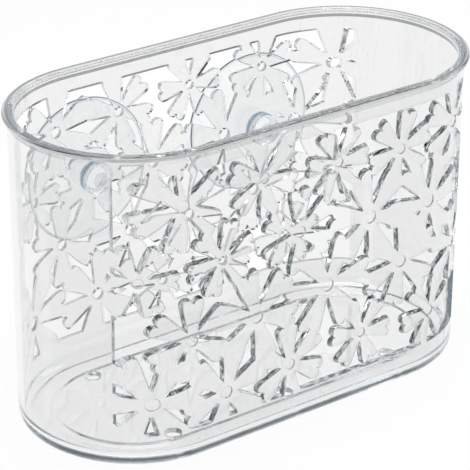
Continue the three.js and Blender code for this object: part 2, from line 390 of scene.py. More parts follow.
def flower_field_tree():
    """Geometry nodes that strew an outline in staggered rows, each turned, strayed and grown by number"""
    tree = bpy.data.node_groups.new("Flower field", "GeometryNodeTree")
    for name, kind in (
        ("Outline", "Object"), ("Material", "Material"), ("Columns", "Int"), ("Rows", "Int"),
        ("Skip", "Int"), ("Width", "Float"), ("Height", "Float"), ("Sill", "Float"), ("Drift", "Float"),
        ("Turn", "Float"), ("Growth", "Float"),
    ):
        tree.interface.new_socket(name, in_out="INPUT", socket_type="NodeSocket" + kind)
    tree.interface.new_socket("Geometry", in_out="OUTPUT", socket_type="NodeSocketGeometry")
    values = dict(add_node(tree, "NodeGroupInput").outputs.items())
    values["index"] = add_node(tree, "GeometryNodeInputIndex").outputs[0]
    for name, operation, *sources in (
        ("count", "MULTIPLY", "Columns", "Rows"),
        ("half on", "ADD", "index", 0.5),
        ("rows passed", "DIVIDE", "half on", "Columns"),
        ("row", "FLOOR", "rows passed"),
        ("flowers passed", "MULTIPLY", "row", "Columns"),
        ("column", "SUBTRACT", "index", "flowers passed"),
        ("odd row", "MODULO", "row", 2.0),
        ("stagger", "MULTIPLY_ADD", "odd row", 0.5, 0.25),
        ("place", "ADD", "column", "stagger"),
        ("share", "DIVIDE", "place", "Columns"),
        ("off middle", "SUBTRACT", "share", 0.5),
        ("across", "MULTIPLY", "off middle", "Width"),
        ("row middle", "ADD", "row", 0.5),
        ("rise", "DIVIDE", "row middle", "Rows"),
        ("height", "MULTIPLY_ADD", "rise", "Height", "Sill"),
        ("number", "ADD", "index", "Skip"),
        ("turn", "MULTIPLY", "number", "Turn"),
        ("turn back", "MULTIPLY", "turn", -1.0),
        ("twice", "MULTIPLY", "turn", 2.0),
        ("sideways", "COSINE", "twice"),
        ("upwards", "SINE", "twice"),
        ("x", "MULTIPLY_ADD", "sideways", "Drift", "across"),
        ("z", "MULTIPLY_ADD", "upwards", "Drift", "height"),
        ("thrice", "MULTIPLY", "turn", 3.0),
        ("swing", "COSINE", "thrice"),
        ("size", "MULTIPLY_ADD", "swing", "Growth", 1.0),
    ):
        links = {i: values.get(source, source) for i, source in enumerate(sources)}
        values[name] = add_node(tree, "ShaderNodeMath", links, operation=operation).outputs[0]
    position = add_node(tree, "ShaderNodeCombineXYZ", {"X": values["x"], "Z": values["z"]})
    rotation = add_node(tree, "ShaderNodeCombineXYZ", {"Y": values["turn back"]})
    points = add_node(tree, "GeometryNodePoints", {
        "Count": values["count"], "Position": position.outputs[0],
    })
    outline = add_node(tree, "GeometryNodeObjectInfo", {"Object": values["Outline"]})
    strewn = add_node(tree, "GeometryNodeInstanceOnPoints", {
        "Points": points.outputs[0], "Instance": outline.outputs["Geometry"],
        "Rotation": rotation.outputs[0], "Scale": values["size"],
    })
    realized = add_node(tree, "GeometryNodeRealizeInstances", {"Geometry": strewn.outputs[0]})
    finished = add_node(tree, "GeometryNodeSetMaterial", {
        "Geometry": realized.outputs[0], "Material": values["Material"],
    })
    add_node(tree, "NodeGroupOutput", {0: finished.outputs[0]})
    return tree


def curve(start, leave, arrive, end, steps):
    """Points of a cubic curve, without its start"""
    points = []
    for k in range(1, steps + 1):
        t = k / steps
        u = 1 - t
        points.append(u ** 3 * start + 3 * u * u * t * leave + 3 * u * t * t * arrive + t ** 3 * end)
    return points


def flower_outline(work):
    """Petals that widen to a rounded heart, with narrowing slits down to the hub"""
    # Shares of a petal's side, of its half width and of its notch that give its heart shape.
    side_straight, side_pull = 0.55, 1.12
    lobe_arrive, lobe_turn, lobe_leave = 0.95, 0.55, 0.22
    inlet_pull = 0.55
    half_pitch = math.pi / work.petals
    half_petal = math.asin(work.petal_width / 2 / work.radius)
    cheek = work.radius - work.petal_notch

    def place(reach, turn):
        return Vector((reach * math.cos(turn), reach * math.sin(turn)))

    root = place(work.hub_radius, -half_pitch)
    side = place(cheek, -half_petal)
    flank = root.lerp(side, side_straight)
    pull = root.lerp(side, side_pull)
    arrive, lobe, leave = [
        place(work.radius, -turn * half_petal) for turn in (lobe_arrive, lobe_turn, lobe_leave)
    ]
    notch = place(cheek, 0.0)
    inlet = notch.lerp(place(work.radius, 0.0), inlet_pull)
    half = [root, flank]
    half += curve(flank, pull, arrive, lobe, steps=6)
    half += curve(lobe, leave, inlet, notch, steps=4)
    petal = half + [Vector((point.x, -point.y)) for point in reversed(half[1:-1])]
    outline = []
    for k in range(work.petals):
        turn = Matrix.Rotation(2 * half_pitch * k, 2)
        outline += [turn @ point for point in petal]
    return outline


def circle(centre, radius, steps=28):
    """Points round a circle, counter-clockwise"""
    turns = [2 * math.pi * (k + 0.5) / steps for k in range(steps)]
    return [Vector((centre[0] + radius * math.cos(t), centre[1] + radius * math.sin(t))) for t in turns]


def strewn_outlines(tree, outline, skip, work, window_height, material):
    """Flat outlines of a whole wall's flowers or eyes, from the geometry nodes"""
    pattern_mesh = bpy.data.meshes.new("outline")
    pattern_mesh.from_pydata([(p.x, 0.0, p.y) for p in outline], [], [list(range(len(outline)))])
    pattern = bpy.data.objects.new("outline", pattern_mesh)
    carrier = bpy.data.objects.new("flower field", bpy.data.meshes.new("flower field"))
    for helper in (pattern, carrier):
        bpy.context.scene.collection.objects.link(helper)
    modifier = carrier.modifiers.new("Flower field", "NODES")
    modifier.node_group = tree
    sockets = {item.name: item.identifier for item in tree.interface.items_tree if item.in_out == "INPUT"}
    for name, value in (
        ("Outline", pattern), ("Material", material), ("Skip", skip),
        ("Columns", max(1, round(work.width / work.pitch))),
        ("Rows", max(1, round(window_height / work.row_pitch))),
        ("Width", work.width), ("Height", window_height), ("Sill", work.sill), ("Drift", work.drift),
        ("Turn", work.turn), ("Growth", work.radius_change / work.radius),
    ):
        modifier[sockets[name]] = value
    evaluated = carrier.evaluated_get(bpy.context.evaluated_depsgraph_get())
    strewn = bpy.data.meshes.new_from_object(evaluated)
    outlines = [[Vector((strewn.vertices[i].co.x, strewn.vertices[i].co.z)) for i in face.vertices]
                for face in strewn.polygons]
    carrier.modifiers.remove(modifier)
    for helper in (pattern, carrier):
        mesh = helper.data
        bpy.data.objects.remove(helper)
        bpy.data.meshes.remove(mesh)
    bpy.data.meshes.remove(strewn)
    return outlines


def area_of(loop):
    """Area inside a loop, negative where the loop runs clockwise"""
    return sum(a.x * b.y - b.x * a.y for a, b in zip(loop, loop[1:] + loop[:1])) / 2


def open_loops(window, flowers, eyes, seats, bores):
    """Counter-clockwise outlines of what is open: the window less flowers and seats, eyes, and bores"""
    kinds = []
    points = []
    faces = []
    for kind, shapes in enumerate(([window], flowers, eyes, seats, bores)):
        for shape in shapes:
            shape = shape if area_of(shape) > 0 else shape[::-1]
            kinds.append(kind)
            faces.append(list(range(len(points), len(points) + len(shape))))
            points += shape
    places, _, triangles, _, _, owners = delaunay_2d_cdt(points, [], faces, ALL_TRIANGLES, SMALL, True)
    opposite = {}
    for triangle, owner in zip(triangles, owners):
        inside = {kinds[i] for i in owner}
        pierced = WINDOW in inside and SEAT not in inside and (FLOWER not in inside or EYE in inside)
        if pierced or BORE in inside:
            a, b, c = triangle
            opposite.update({(a, b): c, (b, c): a, (c, a): b})
    edges = {edge for edge in opposite if edge[::-1] not in opposite}
    loops = []
    while edges:
        start = min(edges)
        edge = start
        loop = []
        while True:
            edges.discard(edge)
            loop.append(places[edge[0]])
            corner = opposite[edge]
            while (corner, edge[1]) in opposite:
                corner = opposite[corner, edge[1]]
            edge = (edge[1], corner)
            if edge == start:
                break
        loops.append(loop)
    return loops


def softened(loop, rounding, stride):
    """The loop without crowded points, with its sharp corners rounded and no edge longer than the stride"""
    crowded = rounding / 4
    sharp = math.radians(25)
    most_of_edge = 0.4
    kept = []
    for point in loop:
        if not kept or (point - kept[-1]).length > crowded:
            kept.append(point)
    while len(kept) > 3 and (kept[0] - kept[-1]).length < crowded:
        kept.pop()
    soft = []
    for before, point, after in zip(kept[-1:] + kept[:-1], kept, kept[1:] + kept[:1]):
        came, goes = point - before, after - point
        if came.angle(goes, 0.0) < sharp:
            soft.append(point)
            continue
        near = point - came.normalized() * min(rounding, came.length * most_of_edge)
        far = point + goes.normalized() * min(rounding, goes.length * most_of_edge)
        soft += [near, near * 0.25 + point * 0.5 + far * 0.25, far]
    even = []
    for point, after in zip(soft, soft[1:] + soft[:1]):
        count = math.ceil((after - point).length / stride)
        even += [point.lerp(after, k / count) for k in range(count)]
    return even


def edge_ways(loop):
    """Each edge's way into the opening, and each corner's way into the sheet"""
    least_spread = 0.6
    ways = [(after - point).normalized() for point, after in zip(loop, loop[1:] + loop[:1])]
    lefts = [Vector((-way.y, way.x)) for way in ways]
    pairs = [(lefts[i - 1], lefts[i]) for i in range(len(loop))]
    return lefts, [-(before + after) / max(1 + before.dot(after), least_spread) for before, after in pairs]


def set_back(loops, miters, shares, reach):
    """Loops whose corners are moved into the sheet, each by its share of the reach"""
    return [
        [point + miter * share * reach for point, miter, share in zip(*parts)]
        for parts in zip(loops, miters, shares)
    ]


def meshed(border, loops, grid):
    """Flat places of a sheet, its triangles, the loops' place numbers, and the places where loops clash"""
    flat = list(border)
    faces = [list(range(len(flat)))]
    for loop in loops:
        faces.append(list(range(len(flat), len(flat) + len(loop))))
        flat += loop
    flat += grid
    places, _, triangles, origins, _, owners = delaunay_2d_cdt(flat, [], faces, ALL_TRIANGLES, TINY, True)
    clashes = [place for place, origin in zip(places, origins) if len(origin) != 1]
    kept = []
    if not clashes:
        inside = [corners for corners, owner in zip(triangles, owners) if owner == [0]]
        kept = [[origins[i][0] for i in corners] for corners in inside]
    return flat, kept, faces[1:], clashes


def calmed(loop, shares, slope):
    """Shares that change along the loop no faster than the slope allows"""
    calm = list(shares)
    count = len(loop)
    for order in (range(2 * count), range(2 * count, 0, -1)):
        for i in order:
            here, beside = i % count, (i + (1 if order.step < 0 else -1)) % count
            calm[here] = min(calm[here], calm[beside] + slope * (loop[here] - loop[beside]).length)
    return calm


def pierced_sheet(skin, border, loops, dimples, grid, near, far, spread, work, taper, rounding, marks):
    """Two faces with the same openings, joined along them by cut edges with rounded brinks.

    Flat places turn counter-clockwise on the near face, where the dimples are and a positive taper opens.
    A face gives the point, its normal and the way in. The marks give how much the cut edges and their brinks
    are drawn, which makes them rougher and paints shade on them in paler streaks, and how much both are made
    rougher and take a plain painted shade. Where brinks crowd, they are eased apart round by round.
    """
    rounds, eased, slope = 40, 0.7, 600.0
    oblique, square = 0.7, 0.9
    smooth_cosine = math.cos(math.radians(40))
    edge = [Vector(place[:2]) for place in border]
    ways = [edge_ways(loop) for loop in loops]
    miters = [miter for _, miter in ways]
    pits = [set_back([loop], [edge_ways(loop)[1]], [[1.0] * len(loop)], rounding)[0] for loop in dimples]
    brinks = np.array([point[:] for loop in loops + pits for point in loop])
    grid = [p for p in grid if np.hypot(*(brinks - p[:]).T).min() > 4 * rounding]
    shares = []
    for loop in loops:
        length = sum((after - point).length for point, after in zip(loop, loop[1:] + loop[:1]))
        share = area_of(loop) / length / max(abs(taper) / 2, TINY)
        shares.append([min(1.0, share)] * len(loop))
    reaches = (rounding + taper / 2, rounding - taper / 2, -abs(taper) / 2)
    for _ in range(rounds):
        near_loops, far_loops, throats = [set_back(loops, miters, shares, reach) for reach in reaches]
        near_mesh = meshed(edge, near_loops + pits, grid)
        far_mesh = meshed(edge, far_loops, grid)
        clashes = near_mesh[-1] + far_mesh[-1] + meshed(edge, throats, [])[-1]
        if not clashes:
            break
        crowd = np.array([place[:] for place in clashes])
        for k, loop in enumerate(loops):
            for i, point in enumerate(loop):
                if np.hypot(*(crowd - point[:]).T).min() < 2 * rounding + abs(taper):
                    shares[k][i] *= eased
            shares[k] = calmed(loop, shares[k], slope)
    else:
        raise RuntimeError("the openwork's brinks cross")

    made = []
    for (flat, kept, _, _), face, which in ((near_mesh, near, 0), (far_mesh, far, 1)):
        corners = {i: place[2 + which] for i, place in enumerate(border)}
        made.append(corners)
        for triangle in kept:
            for i in triangle:
                if i not in corners:
                    corners[i] = skin.corner(face(flat[i])[0])
            order = triangle if which == 0 else triangle[::-1]
            skin.face([corners[i] for i in order], [face(flat[i])[1] for i in order])

    def wall(rings, stations, lefts):
        count = len(lefts)
        smooth = [lefts[i - 1].dot(lefts[i]) > smooth_cosine for i in range(count)]
        for i in range(count):
            j = (i + 1) % count
            start = spread((lefts[i - 1] + lefts[i]).normalized() if smooth[i] else lefts[i])
            end = spread((lefts[i] + lefts[j]).normalized() if smooth[j] else lefts[i])
            for (upper, high), (lower, low) in pairwise(zip(rings, stations)):
                corners = [upper[i], upper[j], lower[j], lower[i]]
                drawn, brink, dull_and_shaded = marks
                # The straight cut side takes the drawn share and the painted shade less where the sheet
                # faces neither along X nor along Y; the rounded brinks take the brink's drawn share and the
                # full painted shade.
                if high[0] == low[0]:
                    facing = max(abs(part) for part in upper[i][1])
                    squarely = min(max((facing - oblique) / (square - oblique), 0.0), 1.0)
                    drawn, dull_and_shaded = drawn * squarely, dull_and_shaded * squarely
                else:
                    drawn = brink
                turned = [(start, high), (end, high), (end, low), (start, low)]
                normals = []
                for (_, normal), (way, (turn, tilt)) in zip(corners, turned):
                    cut = (way + normal * tilt).normalized()
                    normals.append((normal * math.cos(turn) + cut * math.sin(turn)).normalized())
                skin.face([corner for corner, _ in corners], normals, drawn, dull_and_shaded)

    turns = [math.radians(turn) for turn in (0, 45, 90)]
    stations = [(near, 0, turn) for turn in turns] + [(far, 1, turn) for turn in reversed(turns)]
    slant = taper / (near(loops[0][0])[0] - far(loops[0][0])[0]).length
    for k, loop in enumerate(loops):
        lefts, miter = ways[k]
        rings = []
        for side, which, turn in stations:
            numbers = (near_mesh, far_mesh)[which][2][k]
            flat = (near_mesh, far_mesh)[which][0]
            ring = []
            for i, point in enumerate(loop):
                if turn == 0:
                    ring.append((made[which][numbers[i]], side(flat[numbers[i]])[1]))
                    continue
                reach = (taper / 2 if which == 0 else -taper / 2) + rounding * (1 - math.sin(turn))
                place, normal, way_in = side(point + miter[i] * shares[k][i] * reach)
                drop = way_in * shares[k][i] * rounding * (1 - math.cos(turn))
                ring.append((skin.corner(place + drop), normal))
            rings.append(ring)
        wall(rings, [(turn, slant if which == 0 else -slant) for _, which, turn in stations], lefts)

    for k, loop in enumerate(dimples):
        lefts, miter = edge_ways(loop)
        numbers = near_mesh[2][len(loops) + k]
        rings = [[(made[0][i], near(near_mesh[0][i])[1]) for i in numbers]]
        steps = [(turn, rounding * (1 - math.sin(turn)), rounding * (1 - math.cos(turn))) for turn in turns]
        steps += [(turn, -reach, work.eye_depth - drop) for turn, reach, drop in reversed(steps)]
        for turn, reach, drop in steps[1:]:
            ring = []
            for point, way in zip(loop, miter):
                place, normal, way_in = near(point + way * reach)
                ring.append((skin.corner(place + way_in * drop), normal))
            rings.append(ring)
        wall(rings, [(turn, 0.0) for turn, _, _ in steps], lefts)
        skin.face([corner for corner, _ in rings[-1]], [normal for _, normal in rings[-1]])


def cleared_tree(owner):
    """Empty node tree of a material or a world"""
    owner.use_nodes = True
    owner.node_tree.nodes.clear()
    return owner.node_tree


def clear_plastic(
    name, tint, shade_tint, depth_tint, density, ior, rough, cut_rough, ripple, ripple_height, haze,
    streaks=None,
):
    """Clear moulded plastic that bends light, takes colour in depth, lets lamps through to the floor, and
    takes painted shade on its marked faces
    """
    material = bpy.data.materials.new(name)
    tree = cleared_tree(material)
    place = add_node(tree, "ShaderNodeTexCoord").outputs["Object"]
    flow = add_node(tree, "ShaderNodeTexNoise", {
        "Vector": place, "Scale": 1 / ripple, "Detail": 1.0, "Roughness": 0.4,
    })
    cloud = add_node(tree, "ShaderNodeTexNoise", {
        "Vector": place, "Scale": 1 / haze, "Detail": 3.0, "Roughness": 0.6,
    })
    gloss = add_node(tree, "ShaderNodeMapRange", {
        "Value": cloud.outputs[0], "From Min": 0.3, "From Max": 0.7,
        "To Min": 0.5 * rough, "To Max": 1.5 * rough,
    })
    # Faces marked dull are made rougher and tinted toward the given dark tint, a painted shade for the dark
    # lines that bent light draws there.
    cut, dull_and_shaded = [
        add_node(tree, "ShaderNodeAttribute", attribute_name=kind).outputs["Fac"] for kind in ("cut", "dull_and_shaded")
    ]
    # A colour mix has its factor at 0, its colours at 6 and 7, and its result at 2.
    colour = add_node(tree, "ShaderNodeMix", {0: dull_and_shaded, 6: tint, 7: shade_tint}, data_type="RGBA")
    # Drawn cut sides are tinted dark with paler streaks along the slides' marks: painted shade in streaks.
    if streaks:
        dark, pale, sizes = streaks
        marks = add_node(tree, "ShaderNodeMapping", {
            "Vector": place, "Scale": [1 / size for size in sizes],
        })
        drawn = add_node(tree, "ShaderNodeTexNoise", {
            "Vector": marks.outputs[0], "Scale": 1.0, "Detail": 1.0, "Roughness": 0.5,
        })
        sharper = add_node(tree, "ShaderNodeMapRange", {
            "Value": drawn.outputs[0], "From Min": 0.4, "From Max": 0.62,
        })
        marked = add_node(tree, "ShaderNodeMix", {0: sharper.outputs[0], 6: dark, 7: pale}, data_type="RGBA")
        colour = add_node(tree, "ShaderNodeMix", {
            0: cut, 6: colour.outputs[2], 7: marked.outputs[2],
        }, data_type="RGBA")
    unpolished = add_node(tree, "ShaderNodeMath", {0: cut, 1: dull_and_shaded}, operation="ADD")
    roughness = add_node(tree, "ShaderNodeMath", {
        0: unpolished.outputs[0], 1: cut_rough, 2: gloss.outputs[0],
    }, operation="MULTIPLY_ADD")
    waves = add_node(tree, "ShaderNodeBump", {
        "Height": flow.outputs[0], "Strength": 1.0, "Distance": ripple_height,
    })
    body = add_node(tree, "ShaderNodeBsdfPrincipled", {
        "Base Color": colour.outputs[2], "Roughness": roughness.outputs[0], "IOR": ior,
        "Transmission Weight": 1.0, "Normal": waves.outputs[0],
    })
    lamp_way = add_node(tree, "ShaderNodeBsdfTransparent", {"Color": tint})
    surface = add_node(tree, "ShaderNodeMixShader", {
        0: rays_of(tree, "Is Shadow Ray"), 1: body.outputs[0], 2: lamp_way.outputs[0],
    })
    inside = add_node(tree, "ShaderNodeVolumeAbsorption", {"Color": depth_tint, "Density": density})
    add_node(tree, "ShaderNodeOutputMaterial", {"Surface": surface.outputs[0], "Volume": inside.outputs[0]})
    return material


class CADDY_OT_basket(bpy.types.Operator):
    """Build the moulded basket with its flower openwork"""
    bl_idname = "caddy.basket"
    bl_label = "Basket"

    def execute(self, context):
        size = context.scene.caddy_basket
        work = context.scene.caddy_openwork
        cups = context.scene.caddy_cups
        finish = context.scene.caddy_finishes
        # Polystyrene, injection-moulded in a polished tool: sharp and glass-like, with faint flow ripples 14
        # mm apart, and grey where light runs along the sheet to an edge. The slides that cut the front's
        # openwork leave streaks along its
        # sides: under 0.1 mm wide on the real one, and drawn 0.8 to 2.4 mm coarse here, so that they show.
        # Those sides are also tinted dark, a painted shade for the dark that bent light shows in them, with
        # the streaks as paler bands in it.
        material = clear_plastic(
            "Clear polystyrene, injection-moulded", tint=finish.basket, shade_tint=finish.basket_shade,
            depth_tint=finish.basket_depth, density=3.5, ior=1.59, rough=0.02, cut_rough=0.08,
            ripple=0.014, ripple_height=0.000012, haze=0.014 / 3,
            streaks=(finish.basket_cut_shade, finish.basket_streak_shade, (0.0024, 0.0008, 0.0024)),
        )
        lean = math.tan(size.draft)
        half = (size.length - size.depth) / 2
        middle = BEHIND * size.middle

        def outer(z):
            return size.depth / 2 - (size.height - z) * lean

        def inner(z):
            return outer(z) - size.wall

        low = work.sill - work.margin
        high = size.height - work.head + work.margin
        lead_reach = work.width / 2 + work.margin - half
        least = inner(low)
        straight_count, lead_count, cap_count, row_count = 24, 14, 20, 24
        lead_step = math.asin(lead_reach / least) / lead_count
        leads = [least * math.sin(lead_step * (k + 1)) for k in range(lead_count)]
        straights = [half * (2 * k / straight_count - 1) for k in range(straight_count + 1)]

        def ring(radius):
            reach = max(radius, least)
            lead = [math.asin(u / reach) for u in leads]
            cap = [lead[-1] + (math.pi - 2 * lead[-1]) * k / cap_count for k in range(1, cap_count)]
            end = lead + cap + [math.pi - turn for turn in reversed(lead)]
            turns = [(x, 0.0) for x in straights] + [(half, turn) for turn in end]
            turns += [(x, math.pi) for x in reversed(straights)] + [(-half, -turn) for turn in reversed(end)]
            return [
                (middle + Vector((x, 0.0, 0.0)), Vector((math.sin(turn), -math.cos(turn), 0.0)))
                for x, turn in turns
            ]

        end_count = 2 * lead_count + cap_count - 1
        total = 2 * (len(straights) + end_count)
        front = [k % total for k in range(-lead_count, len(straights) + lead_count)]
        back_start = len(straights) + end_count - lead_count
        back = [k % total for k in range(back_start, back_start + len(front))]
        window_columns = set(front[:-1] + back[:-1])
        rows = [low + (high - low) * k / row_count for k in range(row_count + 1)]

        foot_inner = outer(0) - size.foot_width
        panel_edge = foot_inner - size.foot_ramp
        base = size.base_fillet
        rim_under = size.height - size.rim_thickness
        rim_edge = size.rim_thickness / 2
        rim_nose = size.depth / 2 + size.rim_overhang - rim_edge
        shoulder = size.rim_shoulder
        shoulder_foot = size.height - shoulder
        floor_top = size.floor + size.floor_fillet
        tuck = size.rim_fillet
        wall_top = rim_under - tuck
        floor_end = inner(floor_top) - size.floor_fillet
        panel_top = size.floor + size.foot_height

        def in_window(first, second, column):
            bottom, top = sorted((first[1], second[1]))
            return column in window_columns and bottom > low - SMALL and top < high + SMALL

        # The base's line of painted shade and the rim's painted shade along the front are strongest this
        # way, toward the front-left side that faces the camera, and the rim's two thin lines of painted
        # shade are strongest away from it.
        # The base's line starts so many degrees under the wall.
        front_left = Vector((-0.6, -0.8, 0.0))
        base_spread = 1.6
        base_line_start = -22

        def front_share(way):
            return max(way.dot(front_left), 0.0) ** 2

        def base_dull_and_shaded(way):
            return size.base_dull_and_shaded * min(base_spread * front_share(way), 1.0)

        def rim_dull_and_shaded(way):
            return size.rim_dull_and_shaded * front_share(way)

        def line_dull_and_shaded(way):
            return size.rim_line_dull_and_shaded * (1 - front_share(way))

        def upright(reach, *heights):
            return straight(*[(reach(z), z) for z in heights])

        skin = Skin()
        shell = Sweep(skin, ring, UP)
        shell.run(ease((panel_edge, size.foot_height), (foot_inner, 0.0)))
        shell.run(straight((foot_inner, 0.0), (outer(base) - base, 0.0)))
        base_middle = (outer(base) - base, base)
        shell.run(arc(base_middle, base, -90, base_line_start))
        shell.run(arc(base_middle, base, base_line_start, 0, steps=3), dull_and_shaded=base_dull_and_shaded)
        line_head = wall_top - size.rim_line_drop
        line_foot = line_head - size.rim_line
        shell.run(upright(outer, base, *rows, line_foot), in_window)
        shell.run(upright(outer, line_foot, line_head), dull_and_shaded=line_dull_and_shaded)
        shell.run(upright(outer, line_head, wall_top))
        root_middle = (outer(wall_top) + tuck, wall_top)
        shell.run(arc(root_middle, tuck, 180, 90, steps=6, hollow=True))
        shell.run(straight((root_middle[0], rim_under), (rim_nose, rim_under)))
        rim_front = arc((rim_nose, rim_under + rim_edge), rim_edge, -90, 90, steps=12)
        shell.run(rim_front, dull_and_shaded=rim_dull_and_shaded)
        edge_end = rim_nose - size.rim_edge_line
        rim_line = straight((rim_nose, size.height), (edge_end, size.height))
        shell.run(rim_line, dull_and_shaded=lambda way: line_dull_and_shaded(way) + rim_dull_and_shaded(way))
        rim_top = straight((edge_end, size.height), (inner(shoulder_foot) + shoulder, size.height))
        shell.run(rim_top, dull_and_shaded=rim_dull_and_shaded)
        shell.run(arc((inner(shoulder_foot) + shoulder, shoulder_foot), shoulder, 90, 180))
        shell.run(upright(inner, shoulder_foot, *reversed(rows), floor_top), in_window)
        shell.run(arc((floor_end, floor_top), size.floor_fillet, 0, -90, hollow=True))
        shell.run(straight((floor_end, size.floor), (foot_inner, size.floor)))
        shell.run(ease((foot_inner, size.floor), (panel_edge, panel_top)))

        def wall(radius_at, side, facing):
            def face(place):
                x, z = place
                radius = radius_at(z)
                past = max(abs(x) - half, 0.0)
                y = side * math.sqrt(radius * radius - past * past)
                normal = Vector((math.copysign(past, x) / radius, y / radius, -lean)).normalized() * facing
                return Vector((x, y, z)) + middle, normal, BEHIND * (-side * facing)
            return face

        def flat(height, facing):
            def face(place):
                return Vector((place[0], place[1], height)) + middle, UP * facing, UP * -facing
            return face

        tree = flower_field_tree()
        window_top = size.height - work.head
        window = [Vector(corner) for corner in (
            (-work.width / 2, work.sill), (work.width / 2, work.sill),
            (work.width / 2, window_top), (-work.width / 2, window_top),
        )]
        seat_radius = cups.shoulder_diameter / 2 + cups.seat_margin
        bore_radius = cups.neck_diameter / 2 + cups.neck_clearance
        places = [Vector((side * cups.place, cups.height)) for side in (-1, 1)]
        grid = [Vector((side * (half + u), z)) for side in (-1, 1) for u in leads[:-1] for z in rows[1:-1]]
        # The front's cut edges take the drawn shares, rougher with painted shade in streaks; the back's take
        # roughness and a plain painted shade.
        front_edge = (work.front_taper, work.front_round, (work.front_drawn_and_shaded, work.front_brink_drawn_and_shaded, 0.0))
        back_edge = (-work.back_taper, work.back_round, (0.0, 0.0, work.back_dull_and_shaded))
        for columns, side, skip, seats, edge in (
            (front, -1, work.front_skip, [], front_edge), (back[::-1], 1, work.back_skip, places, back_edge),
        ):
            flowers, eyes = [
                strewn_outlines(tree, outline, skip, work, window_top - work.sill, material)
                for outline in (flower_outline(work), circle((0.0, 0.0), work.eye_diameter / 2, steps=20))
            ]
            middles = [sum(eye, Vector((0.0, 0.0))) / len(eye) for eye in eyes]
            eyes = [
                eye for eye, spot in zip(eyes, middles)
                if abs(spot.x) < work.width / 2 - work.eye_diameter
                and all((spot - seat).length > seat_radius + work.eye_diameter for seat in seats)
            ]
            eyes = [eye if area_of(eye) > 0 else eye[::-1] for eye in eyes]
            pierced, dimpled = (eyes, []) if side > 0 else ([], eyes)
            plates = [circle(seat, seat_radius, steps=48) for seat in seats]
            bores = [circle(seat, bore_radius) for seat in seats]
            loops = open_loops(window, flowers, pierced, plates, bores)
            loops = [loop for loop in loops if area_of(loop) > work.least_area]
            loops = [softened(loop, work.corner_round, work.stride) for loop in loops]
            around = [(column, rows[0]) for column in columns] + [(columns[-1], z) for z in rows[1:]]
            around += [(column, rows[-1]) for column in columns[-2::-1]]
            around += [(columns[0], z) for z in rows[-2:0:-1]]
            near_wall, far_wall = (outer, inner) if side < 0 else (inner, outer)
            border = []
            for column, z in around:
                corners = [shell.corner(reach(z), z, column) for reach in (near_wall, far_wall)]
                border.append((skin.points[corners[0]].x, z, *corners))
            pierced_sheet(
                skin, border, loops, dimpled, grid,
                wall(near_wall, side, 1 if near_wall is outer else -1),
                wall(far_wall, side, 1 if far_wall is outer else -1),
                lambda way: Vector((way.x, 0.0, way.y)), work, *edge,
            )

        border = []
        for column in range(total):
            corners = [shell.corner(panel_edge, z, column) for z in (panel_top, size.foot_height)]
            point = skin.points[corners[0]] - middle
            border.append((point.x, point.y, *corners))
        drains = [
            circle((column * size.drain_spacing, row * size.drain_row_spacing / 2), size.drain_diameter / 2)
            for column in (-1, 0, 1) for row in (-1, 1)
        ]
        drain_edge = (0.0, 2 * work.front_round, (0.0, 0.0, 0.0))
        pierced_sheet(
            skin, border, drains, [], [], flat(panel_top, 1), flat(size.foot_height, -1),
            lambda way: Vector((way.x, way.y, 0.0)), work, *drain_edge,
        )
        piece = skin.piece("clear_basket", material)
        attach(piece, "basket")
        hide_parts("basket")
        return {"FINISHED"}


